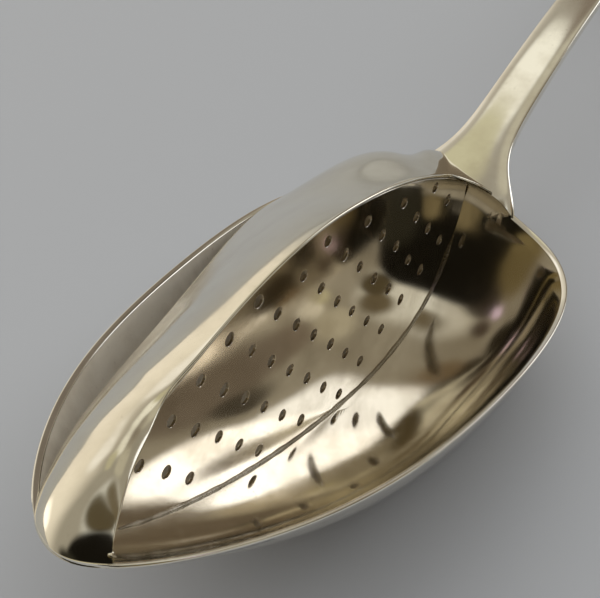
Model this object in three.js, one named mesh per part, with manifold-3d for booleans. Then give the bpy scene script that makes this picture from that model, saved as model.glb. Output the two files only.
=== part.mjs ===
// A basting spoon with a soldered strainer: a forged spoon, an upright pierced plate along the middle of
// the bowl, and a domed hood over the far half of the bowl that leaves a slot along the far rim.
// Millimetres. Everything is laid out in the bowl's own frame: the heel of the rim is the origin, the tip
// lies towards -X, the handle towards +X and the rim is nearly level. The finished group is then tilted
// and lowered so that the spoon rests on its bowl and on the end of its handle.

import * as THREE from 'three';
import { mergeVertices } from 'three/addons/utils/BufferGeometryUtils.js';
import Module from 'manifold-3d';

const wasm = await Module();
wasm.setup();

// Bowl
const bowlLength = 108;
const bowlWidth = 59;
const bowlDepth = 20.9;
const deepestFromHeel = 36.5;
const bowlSheet = 1.3;
const rimWidth = 1.05;
const rimEdge = 0.6;
const rimRound = 0.3;
const rimSag = 1.5;
const heelDip = 1.3;
const heelRise = 2.4;
const heelRiseSpan = 14;
const rootRise = 3.2;
const rootRiseSpan = 1.4;
// Fullness of the rim's outline: its mean, then three waves counted from the heel to the tip
const outlineWaves = [1.05, 0.425, 0.089, 0.0705];

// How the bowl's wall turns up: a long slope, and a share of the height that rises close to the rim
const slopeTip = 1.9;
const slopeSide = 3.0;
const slopeHeel = 2.2;
const steepTip = 0.14;
const steepSide = 0.25;
const steepHeel = 0.5;
const steepPower = 8;

// Drop on the bowl's back, under the stem's root
const dropLength = 21;
const dropWidth = 15;
const dropHeight = 1.1;

// Stem and handle
const handleReach = 196;
const stemTopAtHeel = 5.05;
const stemRise = 0.449;
const stemCurve = 0.001274;
const stemTurnDown = 0.0000031;
const stemWidth = 8.0;
const rootTaper = 1.2;
const rootTaperLength = 65;
const rootFlare = 22.4;
const rootFlareMiddle = 0.4;
const rootFlareSpan = 3.6;
const rootFlareSpans = 4;
const rootReach = 2.6;
const bladeWidth = 25;
const bladeStart = 78;
const bladeEnd = 20;
const bladeTipShare = 0.1;
const stemThickness = 4.2;
const rootThickness = 7.5;
const rootThicknessSpan = 14;
const bladeThickness = 2.3;
const stemCrown = 0.7;
const rootCrown = 4.0;
const rootCrownSpan = 3.0;
const crownLimit = 0.7;
// Below 1 these make the stem's section squarer than an oval, upwards and across
const stemSquareUp = 0.8;
const stemSquareAcross = 0.7;

// Strainer plate
const plateSheet = 0.5;
const plateMiddle = 0.6;
const plateYaw = 0.0505;
const plateFromTip = 8;
const holeDiameter = 1.9;
const holePitchAlong = 5.7;
const holePitchUp = 3.82;
const holeRowTilt = THREE.MathUtils.degToRad(7.5);
const firstHoleFromTip = 33.7;
const firstHoleDepth = 13.9;
const holeEdge = 0.6;
const holeEdgeAtHood = 0.15;
const bareHeelCorner = 3;
const bareHeel = 7;
// The blank reaches this share of the hood's sheet over the plate's top, and is then cut to fit
const plateBlankShare = 0.75;

// Hood
const hoodSheet = 0.6;
const hoodFootInset = 0.05;
const hoodFootDepth = 0.6;
const slotInset = 7.4;
const slotFromHeel = 8;
const slotFromTip = 4;
const slotSkew = 1.32;
const slotLift = 2.0;
const noseFromTip = 2.7;
const shoulderFromHeel = 1.96;
// Inner edge of the hood. Along the plate each point has its distance from the heel as a share of the
// bowl's length and its height as a share of the hood's. Round the tip each has its distance from the tip,
// its place across and its height. At the heel each has its place along and across, and its height over
// the stem's top.
const hoodHeight = 16.8;
const lipOnPlate = [
  [0.778, 0.47], [0.718, 0.613], [0.639, 0.792], [0.556, 0.923], [0.435, 1], [0.306, 0.94], [0.19, 0.785],
  [0.1185, 0.635], [0.06, 0.48],
];
const lipAtNose = [[noseFromTip, -5.3, 0.3], [6.4, -3.6, 3.1], [12.5, -1.2, 5.2], [17.7, 0.4, 6.1]];
const lipAtHeel = [[-2.4, -4.4, 0.65], [-1.6, -6.4, -0.25], [-1.2, -8.4, -1.35]];
// Outer edge over the stem's root: place along and across
const hoodOverRoot = [[3.6, 8.8], [4.9, 6.8], [2.3, 3.4], [0.9, 0.4], [0, -2.9], [-0.5, -6.3], [-0.6, -8.8]];
// Angles of the hood's arches, in degrees, where they spring from the outer edge and at their crest
const hoodSpring = 35;
const noseSpring = 80;
const heelSpring = 56;
const rootSpring = 28;
const hoodCrest = 16;
// How full the arches are along the slot, at the heel and over the root
const slotFullness = 0.32;
const heelFullness = 0.5;
const rootFullness = 0.36;
// The corner by the tip is nearly flat, and next to it the lip rolls over towards the open side
const cornerFullness = 0.06;
const lipRoll = -40;
// Where the arches change from nose to slot, to heel and to root, as shares of the inner edge's length
const cornerZone = [0.015, 0.075];
const rollStart = [0.03, 0.09];
const rollEnd = [0.13, 0.24];
const noseZone = [0, 0.4];
const heelZone = [0.6, 0.78];
const rootZone = [0.84, 0.92];
const hoodEnds = [0.004, 0.985];

// Fits
const solderGap = 0.3;
const solderLeg = 0.9;
const wearFlat = 0.12;
// Where the solder lines end: distances from the plate's ends, shares of the inner edge, and angles
const footBeadFront = 9;
const footBeadRear = 3;
const hoodBeadEnds = [0.28, 0.84];
const noseBeadEnd = 0.05;
const heelBeadEnd = 0.1;

// Fineness of the meshes
const outlineSteps = 64;
const wallRings = 9;
const rootStations = 8;
const middleStations = 18;
const endStations = 8;
const stemSides = 16;
const hoodStations = 40;
const hoodSteps = 8;
const slotSteps = 24;
const plateSteps = 36;
const holeSteps = 4;
const beadPoints = 14;
const archSteps = 100;
const beadSteps = 36;
const beadSides = 6;

const bladeFull = handleReach - bladeEnd;
const plateFront = bowlLength - plateFromTip;
const firstHoleFromHeel = bowlLength - firstHoleFromTip;
const slotNoseEnd = bowlLength - slotFromTip;
const noseLanding = bowlLength - noseFromTip;
const halfLength = bowlLength / 2;
const halfWidth = bowlWidth / 2;
const lerp = THREE.MathUtils.lerp;
const clamp = THREE.MathUtils.clamp;
const smooth = THREE.MathUtils.smoothstep;

// Rim outline, seen from above. The angle is 0 at the heel and PI at the tip, positive on the far side.
function outlineAt(angle) {
  const fullness = outlineWaves.reduce((sum, wave, k) => sum + wave * Math.cos(k * angle), 0);
  const y = halfWidth * Math.sin(angle) * fullness;
  return new THREE.Vector2(-halfLength + halfLength * Math.cos(angle), y);
}

// The outline moved inwards by an inset
function insetOutline(angle, inset) {
  const step = 0.01;
  const along = outlineAt(angle + step).sub(outlineAt(angle - step)).normalize();
  const point = outlineAt(angle);
  return new THREE.Vector2(point.x - along.y * inset, point.y + along.x * inset);
}

// Height of the rim at a distance from the heel
function rimHeight(fromHeel) {
  const share = clamp(fromHeel / bowlLength, 0, 1);
  const sag = rimSag * 4 * share * (1 - share);
  const rise = heelRise * Math.exp(-fromHeel / heelRiseSpan) + rootRise * Math.exp(-fromHeel / rootRiseSpan);
  return rise - sag - heelDip * (1 - share);
}

// A value that changes smoothly from the heel, along the sides, to the tip
function roundBowl(angle, heel, side, tip) {
  const c = Math.cos(angle);
  return side + (heel - tip) / 2 * c + ((heel + tip) / 2 - side) * c * c;
}

function wallRise(reach, angle) {
  const steep = roundBowl(angle, steepHeel, steepSide, steepTip);
  const slope = roundBowl(angle, slopeHeel, slopeSide, slopeTip);
  return (1 - steep) * reach ** slope + steep * reach ** steepPower;
}

// A point of the bowl's wall: reach is 0 at the deepest point and 1 at the rim
function wallPoint(reach, angle, inset, floor, edgeDrop) {
  const rim = insetOutline(angle, inset);
  const top = rimHeight(-outlineAt(angle).x) - edgeDrop;
  const x = lerp(-deepestFromHeel, rim.x, reach);
  const z = floor + (top - floor) * wallRise(reach, angle);
  return new THREE.Vector3(x, rim.y * reach, z);
}

const insideFloor = -bowlDepth;
const outsideFloor = -bowlDepth - bowlSheet;
const insidePoint = (reach, angle) => wallPoint(reach, angle, rimWidth, insideFloor, 0);

// The drop thickens the back of the bowl in a rounded tongue that starts at the heel
function dropAt(x, y) {
  const along = clamp(1 + x / dropLength, 0, 1);
  const across = clamp(1 - (2 * y / dropWidth) ** 2 / Math.max(along, 0.05), 0, 1);
  return dropHeight * Math.sqrt(across) * Math.sqrt(along);
}

function outsidePoint(reach, angle) {
  const point = wallPoint(reach, angle, rimRound, outsideFloor, rimEdge);
  const down = dropAt(point.x, point.y);
  point.z -= down;
  point.x += point.x > -dropLength ? down * reach : 0;
  return point;
}

// Height of the bowl's inside under a point of the plan
function insideHeight(x, y) {
  const want = Math.atan2(Math.abs(y), x + deepestFromHeel);
  let low = 0;
  let high = Math.PI;
  for (let i = 0; i < 40; i += 1) {
    const middle = (low + high) / 2;
    const rim = insetOutline(middle, rimWidth);
    if (Math.atan2(rim.y, rim.x + deepestFromHeel) < want) low = middle;
    else high = middle;
  }
  const rim = insetOutline(low, rimWidth);
  const reach = Math.hypot(x + deepestFromHeel, y) / Math.hypot(rim.x + deepestFromHeel, rim.y);
  return insidePoint(reach, low).z;
}

// Mesh helpers. A solid is grown ring by ring, and each end is closed by a point or a flat cap.
function geometryFrom(points, triangles) {
  const geometry = new THREE.BufferGeometry();
  geometry.setAttribute('position', new THREE.Float32BufferAttribute(points.flatMap((p) => p.toArray()), 3));
  geometry.setIndex(triangles);
  return geometry;
}

function closeRings(rings, startPoint, endPoint) {
  const count = rings[0].length;
  const points = rings.flat();
  const triangles = [];
  for (let i = 0; i + 1 < rings.length; i += 1) {
    for (let j = 0; j < count; j += 1) {
      const a = i * count + j;
      const b = i * count + (j + 1) % count;
      triangles.push(a, b + count, b, a, a + count, b + count);
    }
  }
  const last = (rings.length - 1) * count;
  points.push(startPoint, endPoint);
  for (let j = 0; j < count; j += 1) {
    const next = (j + 1) % count;
    triangles.push(points.length - 2, j, next, points.length - 1, last + next, last + j);
  }
  return geometryFrom(points, triangles);
}

function middleOf(ring) {
  return ring.reduce((sum, p) => sum.add(p), new THREE.Vector3()).divideScalar(ring.length);
}

function toManifold(geometry) {
  const bare = geometry.clone();
  bare.deleteAttribute('normal');
  bare.deleteAttribute('uv');
  const merged = mergeVertices(bare);
  const vertProperties = new Float32Array(merged.attributes.position.array);
  const triVerts = new Uint32Array(merged.index.array);
  return new wasm.Manifold(new wasm.Mesh({ numProp: 3, vertProperties, triVerts }));
}

function toGeometry(solid) {
  const mesh = solid.getMesh();
  const geometry = new THREE.BufferGeometry();
  geometry.setAttribute('position', new THREE.BufferAttribute(new Float32Array(mesh.vertProperties), 3));
  geometry.setIndex(Array.from(mesh.triVerts));
  return geometry;
}

function largestOf(solid) {
  return solid.decompose().reduce((best, one) => (one.volume() > best.volume() ? one : best));
}

function angles() {
  return Array.from({ length: outlineSteps }, (_, i) => 2 * Math.PI * i / outlineSteps);
}

const reaches = Array.from({ length: wallRings }, (_, i) => ((i + 1) / wallRings) ** 0.75);

// Bowl: inside rings outwards, over the rim, and outside rings back to the middle
function bowlShell() {
  const inside = reaches.map((reach) => angles().map((angle) => insidePoint(reach, angle)));
  const rimTop = angles().map((angle) => wallPoint(1, angle, rimRound, insideFloor, 0));
  const rimSide = angles().map((angle) => wallPoint(1, angle, 0, insideFloor, rimEdge / 2));
  const outside = reaches.map((reach) => angles().map((angle) => outsidePoint(reach, angle))).reverse();
  const rings = [...inside, rimTop, rimSide, ...outside];
  const insideMiddle = new THREE.Vector3(-deepestFromHeel, 0, insideFloor);
  const outsideMiddle = new THREE.Vector3(-deepestFromHeel, 0, outsideFloor);
  return closeRings(rings, insideMiddle, outsideMiddle);
}

// The hollow of the bowl as a solid, raised by a clearance and carried straight up above the rim
function hollow(raise, top) {
  const inside = reaches.map((reach) => angles().map((angle) => insidePoint(reach, angle)));
  inside.flat().forEach((point) => point.setZ(point.z + raise));
  const lid = inside[inside.length - 1].map((point) => point.clone().setZ(top));
  const bottom = new THREE.Vector3(-deepestFromHeel, 0, insideFloor + raise);
  return closeRings([lid, ...inside.reverse()], middleOf(lid), bottom);
}

// Stem and handle
const stemTop = (x) => stemTopAtHeel + stemRise * x - stemCurve * x * x - stemTurnDown * x ** 3;

function stemHalfWidth(x) {
  const taper = rootTaper / 2 * clamp(1 - x / rootTaperLength, 0, 1);
  const flare = rootFlare / 2 / (1 + Math.exp((x - rootFlareMiddle) / rootFlareSpan));
  const blade = (bladeWidth - stemWidth) / 2 * smooth(x, bladeStart, bladeFull);
  const end = clamp((x - bladeFull) / (handleReach - bladeFull), 0, 1);
  return (stemWidth / 2 + taper + flare + blade) * lerp(bladeTipShare, 1, Math.sqrt(1 - end ** 2));
}

function stemThick(x) {
  const blade = smooth(x, bladeStart - rootThicknessSpan, bladeFull);
  const root = (rootThickness - stemThickness) * Math.exp(-Math.max(x, 0) / rootThicknessSpan);
  return lerp(stemThickness, bladeThickness, blade) + root;
}

function stemSection(x) {
  const step = 0.5;
  const rise = stemTop(x + step) - stemTop(x - step);
  const slope = Math.atan2(rise, 2 * step) * smooth(x, 0, 2 * rootThickness);
  const half = stemHalfWidth(x);
  const thick = stemThick(x);
  const rootShare = Math.exp(-(x + rootReach) / rootCrownSpan);
  const crown = Math.min(stemCrown + rootCrown * rootShare, thick * crownLimit);
  return Array.from({ length: stemSides }, (_, k) => {
    const turn = 2 * Math.PI * (k + 0.5) / stemSides;
    const c = Math.cos(turn);
    const s = Math.sin(turn);
    const bulge = Math.abs(s) ** stemSquareUp;
    const up = s > 0 ? crown * (bulge - 1) : -crown - (thick - crown) * bulge;
    const y = -half * Math.sign(c) * Math.abs(c) ** stemSquareAcross;
    return new THREE.Vector3(x - up * Math.sin(slope), y, stemTop(x) + up * Math.cos(slope));
  });
}

// Stations along the stem: close at the flared root and round the handle's end, wider between
function stemStations() {
  const rootEnd = rootFlareSpans * rootFlareSpan;
  const spread = (from, to, count) => Array.from({ length: count }, (_, i) => lerp(from, to, i / count));
  const root = spread(-rootReach, rootEnd, rootStations);
  const middle = spread(rootEnd, bladeFull, middleStations);
  const end = Array.from({ length: endStations + 1 }, (_, i) => {
    return bladeFull + (handleReach - bladeFull) * Math.sin(Math.PI / 2 * i / endStations);
  });
  return [...root, ...middle, ...end];
}

function stemLoft() {
  const rings = stemStations().map(stemSection);
  return closeRings(rings, middleOf(rings[0]), middleOf(rings[rings.length - 1]));
}

const bowlAndStem = toManifold(bowlShell()).add(toManifold(stemLoft()));
const spoonUncut = largestOf(bowlAndStem.subtract(toManifold(hollow(0, 2 * bowlDepth))));

// Rest pose: the tilt at which the bowl and the handle's end touch the same level
const spoonPoints = [];
const spoonPositions = toGeometry(spoonUncut).attributes.position;
for (let i = 0; i < spoonPositions.count; i += 1) {
  spoonPoints.push(new THREE.Vector3().fromBufferAttribute(spoonPositions, i));
}

function lowest(points, tilt) {
  return Math.min(...points.map((p) => -p.x * Math.sin(tilt) + p.z * Math.cos(tilt)));
}

const underBowl = spoonPoints.filter((p) => p.x < 0);
const underHandle = spoonPoints.filter((p) => p.x > bladeStart);
let restTilt = 0;
let tiltLimit = Math.PI / 4;
for (let i = 0; i < 40; i += 1) {
  const middle = (restTilt + tiltLimit) / 2;
  if (lowest(underHandle, middle) > lowest(underBowl, middle)) restTilt = middle;
  else tiltLimit = middle;
}
const restHeight = -lowest(spoonPoints, restTilt) - wearFlat;
const restMatrix = new THREE.Matrix4().makeRotationY(restTilt).setPosition(0, 0, restHeight);

// The flats worn on the bowl's back and under the handle's end
function wearBlock() {
  const thick = bowlDepth;
  const block = new THREE.BoxGeometry(4 * handleReach, 4 * bowlWidth, thick);
  block.translate(0, 0, -thick / 2);
  block.applyMatrix4(restMatrix.clone().invert());
  return toManifold(block);
}

const spoon = spoonUncut.subtract(wearBlock());

// The plate's face on the open side lies in an upright plane, a little turned from the bowl's axis
const plateFace = (x) => plateMiddle - plateYaw * (x + halfLength);

// Inner edge of the hood, from the near rim by the tip, along the top of the plate, to the stem's root
const hoodInnerCurve = new THREE.CatmullRomCurve3([
  ...lipAtNose.map(([fromTip, y, z]) => new THREE.Vector3(fromTip - bowlLength, y, z)),
  ...lipOnPlate.map(([along, up]) => {
    return new THREE.Vector3(-along * bowlLength, plateFace(-along * bowlLength), up * hoodHeight);
  }),
  ...lipAtHeel.map(([x, y, up]) => new THREE.Vector3(x, y, stemTopAtHeel + up)),
], false, 'centripetal');

// Outer edge of the hood: on the rim round the tip, free along the slot, on the rim again at the heel,
// and over the stem's root to the near side
function slotEdge(angle) {
  const fromHeel = -outlineAt(angle).x;
  const share = clamp((fromHeel - slotFromHeel) / (slotNoseEnd - slotFromHeel), 0, 1);
  const far = Math.sin(angle) > 0 ? 1 : 0;
  const inset = hoodFootInset + far * slotInset * Math.sin(Math.PI * share ** slotSkew);
  const lift = far * slotLift * Math.sin(Math.PI * share);
  const plan = insetOutline(angle, inset);
  const foot = hoodFootDepth * (1 - smooth(lift, 0, 1));
  return new THREE.Vector3(plan.x, plan.y, rimHeight(fromHeel) + lift - foot);
}

const noseAngle = Math.acos(1 - noseLanding / halfLength);
const shoulderAngle = Math.acos(1 - shoulderFromHeel / halfLength);
const slotAngles = Array.from({ length: slotSteps + 1 }, (_, i) => {
  return lerp(2 * Math.PI - noseAngle, shoulderAngle, i / slotSteps);
});
const rootTopAt = (x, y) => stemTop(x) - rootCrown / 2 * (y / stemHalfWidth(x)) ** 2;
const hoodOuterCurve = new THREE.CatmullRomCurve3([
  ...slotAngles.map(slotEdge),
  ...hoodOverRoot.map(([x, y]) => new THREE.Vector3(x, y, rootTopAt(x, y))),
], false, 'centripetal');

// Matching stations of the two edges, as shares of their lengths
const edgePairs = [
  [0, 0], [0.055, 0.055], [0.11, 0.105], [0.2, 0.2], [0.35, 0.38], [0.5, 0.52], [0.65, 0.66],
  [0.78, 0.79], [0.86, 0.865], [0.93, 0.92], [1, 1],
];

function outerShare(innerShare) {
  const at = edgePairs.findIndex(([inner]) => inner >= innerShare);
  if (at <= 0) return 0;
  const [a, fa] = edgePairs[at - 1];
  const [b, fb] = edgePairs[at];
  return lerp(fa, fb, (innerShare - a) / (b - a));
}

// One arch of the hood from its outer edge to its inner edge. It starts steep and ends nearly level.
function hoodArch(share) {
  const inner = hoodInnerCurve.getPointAt(share);
  const outer = hoodOuterCurve.getPointAt(outerShare(share));
  const across = inner.clone().sub(outer).setZ(0).normalize();
  const corner = 1 - smooth(share, ...cornerZone);
  const roll = smooth(share, ...rollStart) * (1 - smooth(share, ...rollEnd));
  const nose = 1 - smooth(share, ...noseZone);
  const heel = smooth(share, ...heelZone);
  const root = smooth(share, ...rootZone);
  const alongSlot = lerp(hoodSpring, noseSpring, nose);
  const startSlope = THREE.MathUtils.degToRad(lerp(lerp(alongSlot, heelSpring, heel), rootSpring, root));
  const endSlope = THREE.MathUtils.degToRad(lerp(hoodCrest * (1 - nose) * (1 - heel), lipRoll, roll));
  const alongRim = lerp(lerp(slotFullness, heelFullness, heel), rootFullness, root);
  const fullness = lerp(alongRim, cornerFullness, corner);
  const handle = inner.distanceTo(outer) * fullness;
  const lead = across.clone().multiplyScalar(Math.cos(startSlope)).setZ(Math.sin(startSlope));
  const over = across.clone().lerp(new THREE.Vector3(0, -1, 0), roll).normalize();
  const tail = over.multiplyScalar(Math.cos(endSlope)).setZ(Math.sin(endSlope));
  return new THREE.CubicBezierCurve3(
    outer,
    outer.clone().addScaledVector(lead, handle),
    inner.clone().addScaledVector(tail, -handle),
    inner,
  );
}

function hoodGrid() {
  return Array.from({ length: hoodStations }, (_, i) => {
    const share = lerp(...hoodEnds, i / (hoodStations - 1));
    const arch = hoodArch(share);
    return Array.from({ length: hoodSteps + 1 }, (__, j) => arch.getPoint(j / hoodSteps));
  });
}

function gridNormal(grid, i, j) {
  const before = grid[Math.max(i - 1, 0)][j];
  const after = grid[Math.min(i + 1, grid.length - 1)][j];
  const left = grid[i][Math.max(j - 1, 0)];
  const right = grid[i][Math.min(j + 1, grid[i].length - 1)];
  return right.clone().sub(left).cross(after.clone().sub(before)).normalize();
}

// A bent sheet between two offsets of a grid: positive offsets lie under it
function sheetFrom(grid, upper, lower) {
  const rings = grid.map((row, i) => {
    const top = row.map((point, j) => point.clone().addScaledVector(gridNormal(grid, i, j), -upper));
    const bottom = row.map((point, j) => point.clone().addScaledVector(gridNormal(grid, i, j), -lower));
    return [...top, ...bottom.reverse()];
  });
  return stripRings(rings);
}

// As closeRings, with ends closed across the sheet's thickness
function stripRings(rings) {
  const count = rings[0].length;
  const half = count / 2;
  const triangles = [];
  for (let i = 0; i + 1 < rings.length; i += 1) {
    for (let j = 0; j < count; j += 1) {
      const a = i * count + j;
      const b = i * count + (j + 1) % count;
      triangles.push(a, b, b + count, a, b + count, a + count);
    }
  }
  const last = (rings.length - 1) * count;
  for (let j = 0; j + 1 < half; j += 1) {
    const across = count - 1 - j;
    triangles.push(j, across, j + 1, j + 1, across, across - 1);
    triangles.push(last + j, last + j + 1, last + across, last + j + 1, last + across - 1, last + across);
  }
  return geometryFrom(rings.flat(), triangles);
}

const hoodSurface = hoodGrid();
const spoonWithGap = spoonUncut.add(spoonUncut.translate([0, 0, solderGap]));
const hoodUncut = toManifold(sheetFrom(hoodSurface, 0, hoodSheet));
const hood = largestOf(hoodUncut.subtract(spoonWithGap));

// Height of the hood's inner edge at a distance along the bowl
const hoodEdgePoints = hoodInnerCurve.getSpacedPoints(4 * plateSteps);

function hoodEdgeHeight(x) {
  const at = hoodEdgePoints.findIndex((point) => point.x >= x);
  if (at <= 0) return hoodEdgePoints[0].z;
  const [a, b] = [hoodEdgePoints[at - 1], hoodEdgePoints[at]];
  return lerp(a.z, b.z, (x - a.x) / (b.x - a.x));
}

// The plate's foot follows the bowl's inside, and its top is cut by the hood
const plateRear = rimWidth + 2 * solderGap;
const footHeight = (x) => solderGap + Math.max(
  insideHeight(x, plateFace(x)),
  insideHeight(x, plateFace(x) + plateSheet),
);

function plateHoles() {
  const radius = holeDiameter / 2;
  const holes = [];
  const rows = Math.ceil((firstHoleDepth + hoodHeight) / holePitchUp);
  const columns = Math.ceil(bowlLength / holePitchAlong);
  for (let up = 0; up < rows; up += 1) {
    for (let along = -columns; along < columns; along += 1) {
      const isLattice = (along + up) % 2 === 0;
      const x = -firstHoleFromHeel + holePitchAlong * along * Math.cos(holeRowTilt)
        + holePitchUp * up * Math.sin(holeRowTilt);
      const z = -firstHoleDepth - holePitchAlong * along * Math.sin(holeRowTilt)
        + holePitchUp * up * Math.cos(holeRowTilt);
      const isOnPlate = x > -plateFront + bareHeel && x < -bareHeel && x - 2 * z < bareHeelCorner;
      if (!isLattice || !isOnPlate) continue;
      const overFoot = z - radius - holeEdge - footHeight(x);
      const underHood = hoodEdgeHeight(x) - hoodSheet - solderGap - holeEdgeAtHood - radius - z;
      if (Math.min(overFoot, underHood) < 0) continue;
      holes.push(new THREE.Path().absarc(x + halfLength, z, radius, 0, 2 * Math.PI));
    }
  }
  return holes;
}

function plateBlank() {
  const xs = Array.from({ length: plateSteps + 1 }, (_, i) => lerp(-plateFront, -plateRear, i / plateSteps));
  const foot = xs.map((x) => new THREE.Vector2(x + halfLength, footHeight(x)));
  const below = hoodSheet * (1 - plateBlankShare);
  const top = xs.map((x) => new THREE.Vector2(x + halfLength, hoodEdgeHeight(x) - below));
  const outline = new THREE.Shape([...foot, ...top.reverse()]);
  outline.holes = plateHoles();
  const blank = new THREE.ExtrudeGeometry(outline, {
    depth: plateSheet, bevelEnabled: false, curveSegments: holeSteps,
  });
  blank.rotateX(Math.PI / 2);
  blank.translate(0, plateSheet, 0);
  blank.rotateZ(-Math.atan(plateYaw));
  blank.translate(-halfLength, plateMiddle, 0);
  return blank;
}

const hoodWithGap = toManifold(sheetFrom(hoodSurface, -hoodSheet, hoodSheet + solderGap))
  .add(hoodUncut.translate([0, -solderGap, 0]))
  .add(hoodUncut.translate([0, 0, -solderGap]));
const plate = largestOf(toManifold(plateBlank()).subtract(hoodWithGap).subtract(spoonWithGap));

// Solder lines: round beads laid in the corners, clear of both pieces by the solder gap
const beadRadius = solderLeg / 2;
const beadRise = 1.4 * beadRadius;

function bead(points) {
  const path = new THREE.CatmullRomCurve3(points, false, 'centripetal');
  const section = new THREE.Shape();
  section.absarc(0, 0, beadRadius, 0, 2 * Math.PI);
  return new THREE.ExtrudeGeometry(section, {
    steps: beadSteps, curveSegments: beadSides / 2, bevelEnabled: false, extrudePath: path,
  });
}

function footBead(side) {
  const points = Array.from({ length: beadPoints + 1 }, (_, i) => {
    const x = lerp(-plateFront + footBeadFront, -plateRear - footBeadRear, i / beadPoints);
    const offset = side < 0 ? -solderGap - beadRadius : plateSheet + solderGap + beadRadius;
    const y = plateFace(x) + offset;
    return new THREE.Vector3(x, y, insideHeight(x, y) + solderGap + beadRise);
  });
  return bead(points);
}

// A point under the hood at a distance from the plate's face
function underArch(share, distance, drop) {
  const arch = hoodArch(share);
  const points = arch.getPoints(archSteps).reverse();
  const point = points.find(({ x, y }) => y - plateFace(x) > distance) ?? points[archSteps];
  return point.clone().setZ(point.z - drop);
}

function hoodPlateBead() {
  const distance = plateSheet + solderGap + beadRise;
  const drop = hoodSheet + solderGap + beadRise;
  const points = Array.from({ length: beadPoints + 1 }, (_, i) => {
    return underArch(lerp(...hoodBeadEnds, i / beadPoints), distance, drop);
  });
  return bead(points);
}

function rimBead(fromAngle, toAngle) {
  const points = Array.from({ length: beadPoints + 1 }, (_, i) => {
    const angle = lerp(fromAngle, toAngle, i / beadPoints);
    const wall = insetOutline(angle, rimWidth + solderLeg);
    const plan = insetOutline(angle, rimWidth + 2 * solderLeg);
    return new THREE.Vector3(plan.x, plan.y, insideHeight(wall.x, wall.y) + beadRadius);
  });
  return bead(points);
}

const angleFromHeel = (distance) => Math.acos(1 - distance / halfLength);

// Old silver, a little warmer on the hood, darker on the plate
function silver(color, roughness) {
  return new THREE.MeshStandardMaterial({ color, roughness, metalness: 1 });
}

const solderColor = 0x8f8a7c;
const noseBead = rimBead(2 * Math.PI - noseAngle - noseBeadEnd, angleFromHeel(slotNoseEnd) + noseBeadEnd);
const heelBead = rimBead(angleFromHeel(slotFromHeel) - heelBeadEnd, shoulderAngle + heelBeadEnd);

const pieces = [
  ['spoon_body', toGeometry(spoon), silver(0xc9c4b4, 0.22)],
  ['hood', toGeometry(hood), silver(0xcfcab8, 0.2)],
  ['strainer_plate', toGeometry(plate), silver(0xb5ac98, 0.25)],
  ['solder_foot_pocket', footBead(-1), silver(solderColor, 0.45)],
  ['solder_foot_chamber', footBead(1), silver(solderColor, 0.45)],
  ['solder_hood_plate', hoodPlateBead(), silver(solderColor, 0.45)],
  ['solder_hood_nose', noseBead, silver(solderColor, 0.45)],
  ['solder_hood_heel', heelBead, silver(solderColor, 0.45)],
];

const bowlFrame = new THREE.Group();
for (const [name, geometry, material] of pieces) {
  const mesh = new THREE.Mesh(geometry, material);
  mesh.name = name;
  bowlFrame.add(mesh);
}
bowlFrame.rotation.y = restTilt;
bowlFrame.position.z = restHeight;

// The origin is the middle of the base of the whole spoon's box
const strainerSpoon = new THREE.Group();
strainerSpoon.add(bowlFrame);
strainerSpoon.updateMatrixWorld(true);
const extent = new THREE.Box3().setFromObject(strainerSpoon, true);
bowlFrame.position.x = -(extent.min.x + extent.max.x) / 2;
bowlFrame.position.y = -(extent.min.y + extent.max.y) / 2;

export default strainerSpoon;
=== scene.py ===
# The dressed basting spoon: fine meshes of the forged spoon, the hood, the pierced plate and the solder,
# in old polished silver, on a pale floor in soft light.
# Shapes are laid out in millimetres in the bowl's frame, then tilted to rest and turned into metres. In
# that frame the heel of the rim is the origin, the tip lies towards -X, the handle towards +X and the
# hood towards +Y.

import math

import bmesh
import bpy
import numpy as np
from mathutils import Matrix, Vector


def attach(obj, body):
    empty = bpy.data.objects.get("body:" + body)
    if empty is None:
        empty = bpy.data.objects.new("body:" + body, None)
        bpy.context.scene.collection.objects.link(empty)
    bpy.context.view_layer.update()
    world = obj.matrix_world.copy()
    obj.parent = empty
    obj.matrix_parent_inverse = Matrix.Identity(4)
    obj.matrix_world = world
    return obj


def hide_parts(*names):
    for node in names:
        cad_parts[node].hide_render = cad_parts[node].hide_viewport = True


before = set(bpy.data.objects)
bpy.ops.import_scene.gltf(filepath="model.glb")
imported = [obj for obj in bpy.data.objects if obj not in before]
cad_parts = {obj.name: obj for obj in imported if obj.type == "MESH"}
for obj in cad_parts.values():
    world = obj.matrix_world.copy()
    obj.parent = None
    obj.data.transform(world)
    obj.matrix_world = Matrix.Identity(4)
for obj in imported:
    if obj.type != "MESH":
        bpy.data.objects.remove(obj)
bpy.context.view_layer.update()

# Rest pose of the bowl's frame
REST_TILT = math.radians(10.26399)
REST_SHIFT = (-45.1168, 0.0, 16.2862)
# The worn flats lie this far above the floor, and nothing goes lower
LOWEST = 0.01

# Bowl
BOWL_LENGTH = 108.0
BOWL_WIDTH = 59.0
BOWL_DEPTH = 20.9
DEEPEST = 36.5
BOWL_SHEET = 1.3
RIM_WIDTH = 1.05
RIM_EDGE = 0.6
RIM_ROUND = 0.3
RIM_SAG = 1.5
HEEL_DIP = 1.3
HEEL_RISE = 2.4
HEEL_RISE_SPAN = 14
ROOT_RISE = 3.2
ROOT_RISE_SPAN = 1.4
HALF_LENGTH = BOWL_LENGTH / 2
HALF_WIDTH = BOWL_WIDTH / 2
# Fullness of the rim's outline: its mean, then three waves counted from the heel to the tip
OUTLINE_WAVES = (1.05, 0.425, 0.089, 0.0705)
# How the wall turns up at the heel, the sides and the tip: the power of its long slope, and the share of
# its height that rises close to the rim
SLOPE = (2.2, 3.0, 1.9)
STEEP = (0.5, 0.25, 0.14)
STEEP_POWER = 8
# How often the search for the inside under a point is halved
HALVINGS = 40

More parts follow.
